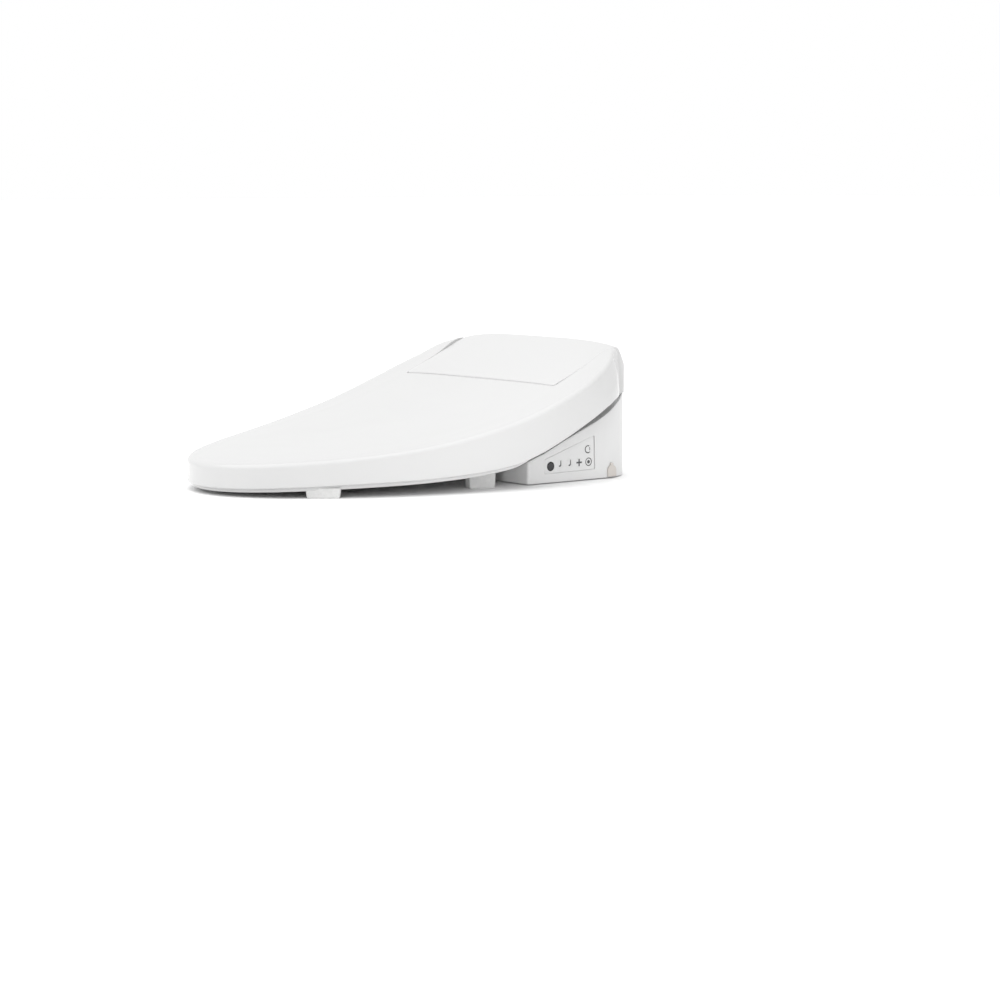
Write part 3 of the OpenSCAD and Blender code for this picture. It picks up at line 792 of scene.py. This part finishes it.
def seat_surface(x, y):
    d = distance(np.column_stack([x, y]), SEAT_IN)
    o = distance(np.column_stack([x, y]), SEAT_OUT)
    z = seat_top_line(y) - 6.5 * (1 - np.clip(d / 46, 0, 1)) ** 2 * ramp(-y, 84, 150)
    return z - 1.2 * (1 - np.clip(o / 30, 0, 1)) ** 2


def seat_bottom(x, y):
    near, roof = over_nose(x, y)
    low = seat_edge_line(y)
    return low + near * np.maximum(roof - low, 0)


def seat_seam(x, y):
    return np.maximum(seat_edge_line(y) + 8, seat_bottom(x, y) + 3.2 * over_nose(x, y)[0])


def build_seat():
    """The ring's upper and lower shells, which meet at a fine seam."""
    up, down = [], []
    floor = lambda x, y: np.minimum(seat_seam(x, y) + 0.3, seat_surface(x, y) - 4)
    top = lambda x, y: seat_seam(x, y) - 0.1
    for loop, r in ((SEAT_OUT, 9.0), (SEAT_IN, 10.0)):
        room = seat_surface(loop[:, 0], loop[:, 1]) - floor(loop[:, 0], loop[:, 1])
        radius = np.minimum(r, np.maximum(room - 0.6, 2))
        edge = fillet(loop, radius, seat_surface, 8)
        low = fillet(loop, 0.5, floor, 2, up=False)
        up.append(low + rows(low[-1], edge[0], 2) + edge)
        low = fillet(loop, 1.6, seat_bottom, 5, start=0.35, up=False)
        high = fillet(loop, 0.4, top, 2, start=0.35)
        down.append(low + rows(low[-1], high[0], 1) + high)
    upper = solid("seat_upper_smooth", up, seat_surface, floor, (6, 12))
    lower = solid("seat_lower_smooth", down, top, seat_bottom, (12, 3.4))
    return upper, lower


def arm(side):
    """The seat's arm, which turns on the hinge shaft."""
    loop = np.concatenate([
        [[-95, 60.5], [-89.2, 62.2]],
        arc(HINGE_Y, HINGE_Z, 13, -94, 150, 34),
        [[-89.2, 66.5], [-95, 66]],
    ])
    hole = circle(SHAFT_HOLE_R, 32, HINGE_Y, HINGE_Z)[::-1]
    low, high = reach(side, 142.2, 153.0)
    return prism(f"seat_arm_{side_name(side)}", dense(loop, 4), low, high, 1.2, [hole], along_x())


def build_film():
    """The heating film, which lies just under the sitting surface."""
    low = lambda x, y: seat_surface(x, y) - 4.2
    high = lambda x, y: seat_surface(x, y) - 3.4
    stacks = [[ring(loop, 13, low), ring(loop, 13, high)] for loop in (SEAT_OUT, SEAT_IN)]
    return solid("seat_heater_film", stacks, high, low, (7, 7))


seat_upper, seat_lower = build_seat()
finish_piece(build_film(), "seat", "foil_heater", ["seat_heater"])
finish_piece(seat_upper, "seat", "seat_plastic", ["seat_upper_shell"])
finish_piece(seat_lower, "seat", "seat_plastic", ["seat_lower_shell"])
for side in (1, -1):
    finish_piece(arm(side), "seat", "seat_plastic", ["seat_lower_shell"])


def rest(name, x, y, turn, length, width, top):
    """A rubber rest under the ring, narrower where it meets the bowl."""
    c, s = math.cos(math.radians(turn)), math.sin(math.radians(turn))
    stack = []
    for k, z, r in ((0.86, 0.0, 1.6), (0.895, 0.25, 1.9), (0.92, 0.8, 2.2), (0.935, 1.6, 2.4),
                    (0.96, 3.5, 2.6), (0.985, 0.6 * top, 2.8), (1.0, top, 2.8)):
        a, b = length * k, width * (k + 0.25 * (1 - k))
        loop = rounded([[-a, -b], [a, -b], [a, b], [-a, b]], r * 0.8, 7)
        loop = loop @ np.array([[c, s], [-s, c]]) + [x, y]
        stack.append(np.column_stack([loop, np.full(len(loop), z)]))
    return solid(name, [stack], flat(top), flat(0), (30, 30))


# where each rest is, its turn, half its length and width, and how far it goes into the ring
RESTS = {"front": (112, -390, 51, 19.5, 7, 2.5), "rear": (140, -190, 72, 16.5, 8, 1.0)}
for side in (1, -1):
    for where, (x, y, turn, length, width, sunk) in RESTS.items():
        made = rest(f"seat_bumper_{where}_{side_name(side)}", x * side, y, turn * side, length, width,
                    float(seat_edge_line(y)) + sunk)
        finish_piece(made, "seat", "rubber_white", ["seat_bumpers"])


# ---------- housing ----------

def tub_loop(inset=0.0, step=4.0):
    """The housing's outline, moved in by inset."""
    r, q = TUB_FRONT_R - inset, TUB_CORNER_R - inset
    front, half = TUB_FRONT + inset, TUB_HALF - inset
    cx, cy = TUB_CORNER
    return mirrored(join(
        line([0, front], [64, front], 4),
        line([64, front], [68, front], 0.5),
        line([68, front], [TUB_HALF - TUB_FRONT_R, front], step),
        arc(TUB_HALF - TUB_FRONT_R, TUB_FRONT + TUB_FRONT_R, r, -90, 0, 10),
        line([half, TUB_FRONT + TUB_FRONT_R], [half, cy], step),
        arc(cx, cy, q, 0, 90, 40),
        line([cx, TUB_REAR - inset], [0, TUB_REAR - inset], step)))


def rim_height(x, y):
    """The lower case's rim, which stands up in front of the nose."""
    nose = ramp(-np.abs(x), -67.5, -65) * ramp(-y, 128, 131)
    low = shoulder_line(y)
    return low + nose * np.maximum(46.5 - low, 0)


def release_loop(d):
    """The release button's outline: an upright tab with a rounded top."""
    top = arc(0, 0, 1, 0, 180, 24) * [6.4 + d, 6.2 + d] + [-8, 9.6]
    return np.concatenate([top, [[-14.4 - d, 2.5 - d], [-1.6 + d, 2.5 - d]]])


def panel_outline(moves, r):
    """The control panel's outline with each corner moved."""
    return rounded(np.array(PANEL) + moves, r, 6)


def build_tub():
    loop = tub_loop()
    inner_floor = lambda x, y: 4 + 13 * ramp(-np.abs(x), -107, -104) * ramp(y, -43, -40)
    low = [ring(loop, 2.6, 1.0), ring(loop, 1.2, 1.0), ring(loop, 0.55, 1.15), ring(loop, 0.15, 1.55),
           ring(loop, 0.0, 2.2)]
    edge = fillet(loop, 1.3, rim_height, 6)
    inner = ring(loop, 2.6, rim_height)
    inner[:, 2] -= 0.1
    wall_top = ring(loop, WALL, rim_height)
    wall_top[:, 2] -= 0.5
    wall_foot = ring(loop, WALL, 5.0)
    stack = low + rows(low[-1], edge[0], 6) + edge + [inner, wall_top] + rows(wall_top, wall_foot, 2)
    stack += [wall_foot, ring(loop, 3.8, 4.0)]
    tub = solid("base_tub_smooth", [stack], inner_floor, flat(1.0), (7, 12))
    nub_room = rounded([[-10.7, 12.5], [-5.3, 12.5], [-5.7, 18.7], [-10.3, 18.7]], [0.5, 0.5, 1.4, 1.4], 6)
    cutters = [
        # the panel's seat, the room behind it and the release button's window
        side_cutter(panel_outline([[0.15, 0.1], [-0.05, 0.1], [-0.05, -0.1], [0.15, -0.1]], 1.4), 158.4, 166),
        side_cutter(rounded([[-108, 14], [-36, 15], [-37, 46.5], [-108, 26]], 1.0, 5), 150, 159),
        side_cutter(release_loop(0.25), 145, 172),
        side_cutter(nub_room, 145, 172),
        # the water inlet, the cord gland and the rear vent
        rod_cutter(11.2, -172, -150, along_x(*INLET)),
        rod_cutter(6.0, 0, 30, along_y(GLAND[0], 30, GLAND[1])),
        box_cutter([-97, 30, 24], [-63, 52, 56]),
        # the nozzle's port, the dryer's outlet and the night light
        rod_cutter(9.5, -26, 14, into_port),
        box_cutter([36.5, -150, 16.5], [59.5, -126, 33.5]),
        rod_cutter(5.0, 0, 20, along_y(NIGHT_LIGHT[0], -146, NIGHT_LIGHT[1])),
        # the room for the mounting plate
        box_cutter([-101, -37, -5], [101, 60, 14]),
    ]
    cutters += [rod_cutter(4.0, -2, 2.5, at(x, y), 32) for x, y in SCREWS]
    cutters += [rod_cutter(8.0, -2, 2.5, at(x, y), 40) for x, y in FEET]
    return boolean(tub, cutters)


def build_nose():
    """The hollow nose over the nozzle."""
    loop = rounded([[-131.8, 31], [-79, 31], [-79, 67.5], [-131.8, 47.6]], [1.5, 1.5, 1.6, 2.4], 6)
    nose = prism("top_cover_nose", dense(loop, 5), -65, 65, 1.2, place=along_x())
    room = [[-128.8, 20], [-75, 20], [-75, 64.5], [-79, 64.5], [-128.8, 44.8]]
    return boolean(nose, [rod_cutter(12.5, -26, 30, into_port), side_cutter(room, -62, 62)])


def block_loop():
    """Outline of the raised block's top edge, which oversails its sides to close the gap to the lid."""
    cx, cy = TUB_CORNER
    half, front = 141.7, -82.0
    a = math.degrees(math.acos((half - 3.5 - cx) / TUB_CORNER_R))
    turn = arc(cx, cy, TUB_CORNER_R, a, 90, 22)
    return mirrored(join(
        line([0, front], [half - 4.5, front], 3),
        bend([half - 4.5, front], [half, front], [half, front + 4.5], 9),
        line([half, front + 4.5], [half, turn[0, 1] - 3], 3),
        bend([half, turn[0, 1] - 3], [half, turn[0, 1] + 1], turn[0], 7),
        turn,
        line([cx, TUB_REAR], [0, TUB_REAR], 3)))


def block_top(x, y):
    return cover_side_line(y) + dome(x, y, 141.4)


def build_block():
    loop = block_loop()
    low_z = lambda x, y: shoulder_line(y) + 0.35
    y = loop[:, 1]
    under = 1.9 * ramp(-y, -12, 4)
    r = np.where(y > 14, 1.0, 0.7 + 0.8 * ramp(y, -80, -60))
    edge = fillet(loop, r, block_top, 6)
    low = fillet(loop, 0.3, low_z, 2, start=under, up=False)
    step = edge[0].copy()
    step[:, 2] -= 1.4
    neck = ring(loop, under, 0)
    neck[:, 2] = step[:, 2] - 1.9
    stack = low + rows(low[-1], neck, 4) + [neck, step] + edge
    return boolean(solid("top_cover_block", [stack], block_top, low_z, (5, 12)), [block_room(2.0)])


def block_room(drop):
    """The space inside the block, open below: it starts drop under the deck's top."""
    cx, cy = TUB_CORNER
    half, front, r = 136.0, -76.0, TUB_CORNER_R - 5
    turn = arc(cx, cy, r, math.degrees(math.acos((half - cx) / r)), 90, 16)
    loop = mirrored(join(line([0, front], [half, front], 6), line([half, front], turn[0], 6), turn,
                         line(turn[-1], [0, turn[-1, 1]], 6)))
    floor = lambda x, y: shoulder_line(y) - drop
    ceiling = lambda x, y: block_top(x, y) - 3.2 - 4.8 * ramp(y, 12, 24)
    return solid("cutter", [[ring(loop, 0, floor), ring(loop, 0, ceiling)]], ceiling, floor, (8, 30))


def build_deck():
    """The sloping deck of the upper case, open under the block and the nose."""
    loop = tub_loop(3.5, 5.0)
    top = lambda x, y: shoulder_line(y) - 0.6
    low = lambda x, y: shoulder_line(y) - 3
    stack = fillet(loop, 0.2, low, 2, up=False) + fillet(loop, 0.3, top, 3)
    deck = solid("top_cover_deck", [stack], top, low, (5, 10))
    return boolean(deck, [block_room(6.0), box_cutter([-61.5, -128, 20], [61.5, -70, 80])])


finish_piece(build_tub(), "housing", "housing_plastic", ["base_tub"])
for build in (build_deck, build_nose, build_block):
    finish_piece(build(), "housing", "cover_plastic", ["top_cover"])


# ---------- control panel ----------

plate_loop = dense(panel_outline([[0.5, 0.45], [-1.8, 0.45], [-1.8, -0.75], [0.5, -0.4]], 1.1), 6)
holes = [circle(5.16, 48, *k)[::-1] for k in KEYS.values()] + [circle(5.62, 48, *IR)[::-1]]
plate = prism("panel_plate_smooth", plate_loop, 158.45, PANEL_FACE, 0.12, holes, along_x(), (6, 12), cuts=3)
finish_piece(plate, "housing", "panel_film", ["panel_plate"])

for key_name, (y, z) in KEYS.items():
    profile = [[0.4, 156.8], [6.0, 156.8], [6.0, 158.2], [5.1, 158.25], [5.1, 160.02], [5.06, 160.09],
               [5.0, PANEL_FACE], [0.4, PANEL_FACE]]
    key_cap = turned(f"key_cap_{key_name}", profile, along_x(y, z))
    finish_piece(key_cap, f"key_{key_name}", "key_plastic", [f"key_{key_name}"])


def stroke(path, widths):
    """The closed outline of a stroke along a path."""
    path = np.array(path, float)
    t = np.gradient(path, axis=0)
    t /= np.linalg.norm(t, axis=1)[:, None]
    n = np.stack([-t[:, 1], t[:, 0]], 1) * (np.array(widths, float) / 2)[:, None]
    loop = np.concatenate([path - n, (path + n)[::-1]])
    area = 0.5 * np.sum(loop[:, 0] * np.roll(loop[:, 1], -1) - loop[:, 1] * np.roll(loop[:, 0], -1))
    return loop if area > 0 else loop[::-1]


def icon(name, body, outlines, y, z):
    """A printed mark made of thin, flat outlines. The second outline of a pair is a hole."""
    parts = []
    for k, outline in enumerate(outlines):
        shape, *holes = outline if isinstance(outline, tuple) else (outline,)
        parts.append(prism(f"{name}_{k}", shape, 160.1, 160.17, 0.01, holes, along_x(y, z), (4, 4), cuts=1))
    work = bmesh.new()
    for part in parts:
        work.from_mesh(part.data)
    work.to_mesh(parts[0].data)
    work.free()
    for part in parts[1:]:
        bpy.data.objects.remove(part)
    parts[0].name = name
    finish_piece(parts[0], body, "key_plastic", material=INK)


hook = np.concatenate([line([1.4, 3.9], [1.4, -1.6], 0.6),
                       bend([1.4, -1.6], [1.3, -3.5], [-1.9, -3.3], 9)[1:]])
hook = hook * 0.92 + [-0.5, 0.7]
hook_widths = np.interp(np.linspace(0, 1, len(hook)), [0, 0.15, 0.6, 0.85, 1], [0.8, 1.3, 1.6, 2.0, 0.9])
for wash in ("rear_wash", "front_wash"):
    icon(f"icon_{wash}", f"key_{wash}", [stroke(hook, hook_widths)], *KEYS[wash])
plus_arm = np.array([[-1, -4.2], [1, -4.2], [1, -1]])
quarter_turn = np.array([[0, 1], [-1, 0]])
plus = np.concatenate([plus_arm @ np.linalg.matrix_power(quarter_turn, k) for k in range(4)])
icon("icon_plus", "key_plus", [plus], *KEYS["plus"])
icon("icon_stop", "key_stop", [(circle(4.95), circle(3.85)[::-1]), circle(2.15, 32)], *KEYS["stop"])
swirl = arc(0, -0.2, 4.2, 66, 318, 34)
swirl_widths = np.interp(np.linspace(0, 1, 34), [0, 0.3, 0.8, 1], [0.7, 1.3, 1.3, 0.6])
tail = arc(0.6, 0.2, 2.2, -48, 52, 12)
icon("icon_power", "key_power",
     [stroke(swirl, swirl_widths), stroke(tail, np.full(12, 0.9)),
      stroke(line([0.3, 3.0], [0.85, 4.5], 0.5), [0.7, 0.9, 0.9, 0.8])], *KEYS["power"])

window = [[0.5, 154.0], [5.5, 154.0], [5.5, 160.05], [5.35, 160.2], [4.9, 160.3], [3.6, 160.36],
          [2.0, 160.39], [0.5, 160.4]]
finish_piece(turned("ir_window_dome", window, along_x(*IR)), "housing", "smoked_lens", ["ir_window"])

nub = rounded([[-10.4, 13], [-5.6, 13], [-6, 18.4], [-10, 18.4]], [0.5, 0.5, 1.3, 1.3], 6)
finish_piece(prism("release_button_nub", nub, 154, 161.3, 0.4, place=along_x(), cuts=3), "release_button",
             "button_plastic", ["release_button"])
tab_back, tab_face = flat(152.0), flat(162.0)
tab = release_loop(0.0)
tab_stack = fillet(tab, 0.4, tab_back, 2, up=False) + fillet(tab, 0.9, tab_face, 5)
finish_piece(solid("release_button_smooth", [tab_stack], tab_face, tab_back, (3, 8), along_x()),
             "release_button", "button_plastic", ["release_button"])


# ---------- small outside pieces ----------

BORE = 7.0


def threaded(name, r, depth, pitch, length, place, n=72):
    """A pipe with an outside thread, a chamfer at its free end and an open bore."""
    a = np.linspace(0, 2 * math.pi, n, endpoint=False)
    verts = []
    for z in np.linspace(0, length, int(length / 0.22)):
        phase = ((z / pitch) - a / (2 * math.pi)) % 1.0
        tooth = np.clip(np.abs(phase - 0.5) * 2.6 - 0.3, 0, 1)
        fade = min(1.0, z / (2 * pitch))
        chamfer = 1 - min(1.0, (length - z) / 1.2)
        rr = r - depth * tooth * fade - chamfer
        verts.append(np.column_stack([rr * np.cos(a), rr * np.sin(a), np.full(n, z)]))
    for z in (length, length - 0.4, 0.0):
        rr = BORE + (0.4 if z == length else 0.0)
        verts.append(np.column_stack([rr * np.cos(a), rr * np.sin(a), np.full(n, z)]))
    faces = []
    total = len(verts)
    for k in range(total):
        p, q = k * n, ((k + 1) % total) * n
        faces += [(p + i, p + (i + 1) % n, q + (i + 1) % n, q + i) for i in range(n)]
    return obj_from(name, np.concatenate(verts), faces, place, 50)


def out_of_inlet(v):
    """Places a piece whose height runs out of the housing's right wall, on the inlet's axis."""
    return np.column_stack([-v[:, 2] - 162.5, v[:, 0] + INLET[0], -v[:, 1] + INLET[1]])


flange = [[BORE, -2.3], [12.2, -2.3], [13.0, -1.7], [13.0, -0.6], [12.3, 0.0], [10.0, 0.0], [BORE, 0.0],
          [BORE, -2.3]]
stub = [[BORE, -5.7], [10.4, -5.7], [10.4, -2.3], [BORE, -2.3], [BORE, -5.7]]
for made in (threaded("water_inlet_thread", 10.46, 1.0, 1.814, 13.5, out_of_inlet),
             turned("water_inlet_flange", flange, out_of_inlet, 72),
             turned("water_inlet_stub", stub, out_of_inlet)):
    finish_piece(made, "housing", "chrome_fitting", ["water_inlet"])

gland = [[3.2, 0], [7.4, 0], [8.0, 0.5], [8.0, 3.3], [7.5, 3.8], [5.9, 3.8], [5.9, 7.2], [7.6, 7.2],
         [8.0, 7.6], [8.0, 8.8], [7.6, 9.2], [6.3, 9.25]]
for k in range(3):
    gland += [[r - 0.2 * k, h + 1.5 * k] for r, h in ((6.0, 9.5), (5.2, 9.8), (5.2, 10.4), (5.9, 10.7))]
gland += [[5.3, 13.9], [3.6, 14.0], [3.2, 13.7], [3.2, 0]]
finish_piece(turned("cord_gland_ribbed", gland, along_y(GLAND[0], 36, GLAND[1])), "housing", "rubber_grey",
             ["cord_gland"])

lamp = [[0.3, -7.0], [4.9, -7.0], [4.9, -0.2], [4.6, 0.1], [3.4, 0.3], [1.6, 0.38], [0.3, 0.4]]
finish_piece(turned("night_light_lens", lamp, along_y(NIGHT_LIGHT[0], TUB_FRONT, NIGHT_LIGHT[1], -1), 48),
             "housing", "clear_lens", ["night_light"])
eye = [[0.3, -8.0], [5.9, -8.0], [5.9, 0.0], [5.6, 0.3], [4.2, 0.5], [2.0, 0.58], [0.3, 0.6]]
finish_piece(turned("presence_sensor_lens", eye, along_y(50, -80, 92, -1), 48), "housing", "smoked_lens",
             ["presence_sensor"])


def build_tip():
    """The nozzle's tip, with three spray holes in a row and one behind them."""
    body = [[0.3, 0.0], [4.4, 0.0], [5.7, 0.4], [6.7, 1.2], [7.3, 2.2], [7.5, 3.4], [7.5, 14.0], [0.3, 14.0]]
    tip = turned("nozzle_tip_smooth", body, into_port)
    cutters = [rod_cutter(r, 5.0, 9.0, lambda v, x=x, y=y: along_wand(v + [x, y, 0]), 20)
               for r, x, y in ((0.75, -2.4, 7.0), (0.75, 0.0, 7.0), (0.75, 2.4, 7.0), (0.5, 0.0, 10.4))]
    return boolean(tip, cutters)


finish_piece(build_tip(), "nozzle", "seat_plastic", ["nozzle_tip"])


# ---------- CAD nodes that stay, each in its slot's finish ----------

slots = {s["node"]: s["material_slot"] for s in frame["record"]["subparts"]}
for node_name, node in NODES.items():
    finish = MATERIALS.get(slots.get(node_name), MATERIALS["grey_plastic"])
    if not node.material_slots:
        node.data.materials.append(finish)
    for place in node.material_slots:
        place.material = finish


# ---------- studio ----------

def build_floor():
    size = 30000.0
    loop = rounded([[-size, -size], [size, -size], [size, size], [-size, size]], 2000.0, 8)
    made = prism("studio_floor", loop, -40, 0, 1.0, steps=(9000, 9000), cuts=1)
    paint = Surface("floor_paint")
    paint.colour(paint.noise(1.2, 3), (0.945, 0.945, 0.945), (0.955, 0.955, 0.955))
    paint.set("Roughness", 0.9)
    paint.set("Specular IOR Level", 0.1)
    made.data.materials.append(paint.material)
    return made


build_floor()

world = bpy.data.worlds.new("studio")
bpy.context.scene.world = world
world.use_nodes = True
background = world.node_tree.nodes["Background"].inputs
background["Color"].default_value = (1, 1, 1, 1)
background["Strength"].default_value = 1.0


def soft_sun(name, energy, width, height, bearing):
    """A wide, soft light from a height and bearing in degrees. Bearing 0 comes from -Y, 90 from +X."""
    made = bpy.data.objects.new(name, bpy.data.lights.new(name, "SUN"))
    made.data.energy = energy
    made.data.angle = math.radians(width)
    made.rotation_euler = (math.radians(90 - height), 0, math.radians(bearing))
    bpy.context.scene.collection.objects.link(made)


soft_sun("soft_overhead", 1.45, 80, 66, 0)
soft_sun("soft_front_fill", 0.14, 50, 10, 60)

# a small light from low in front, for the housing's shaded front wall
low_fill = bpy.data.objects.new("low_fill", bpy.data.lights.new("low_fill", "SPOT"))
low_fill.data.energy = 78
low_fill.data.spot_size = math.radians(8.5)
low_fill.data.spot_blend = 1.0
low_fill.data.shadow_soft_size = 0.15
low_fill.location = (1.5, -1.62, 0.1)
low_fill.rotation_euler = (math.radians(87.5), 0, math.radians(42.2))
bpy.context.scene.collection.objects.link(low_fill)

# the camera as fitted to the photograph
SENSOR = 36
camera = bpy.data.objects.new("camera", bpy.data.cameras.new("camera"))
camera.location = (2.63212, -2.17274, 0.35755)
camera.rotation_euler = (math.radians(90 - 6.6605), 0, math.radians(51.0889))
camera.data.sensor_width = SENSOR
camera.data.lens = SENSOR * 2.79527
bpy.context.scene.collection.objects.link(camera)
bpy.context.scene.camera = camera
bpy.context.scene.view_settings.view_transform = "Standard"
bpy.context.scene.view_settings.look = "None"
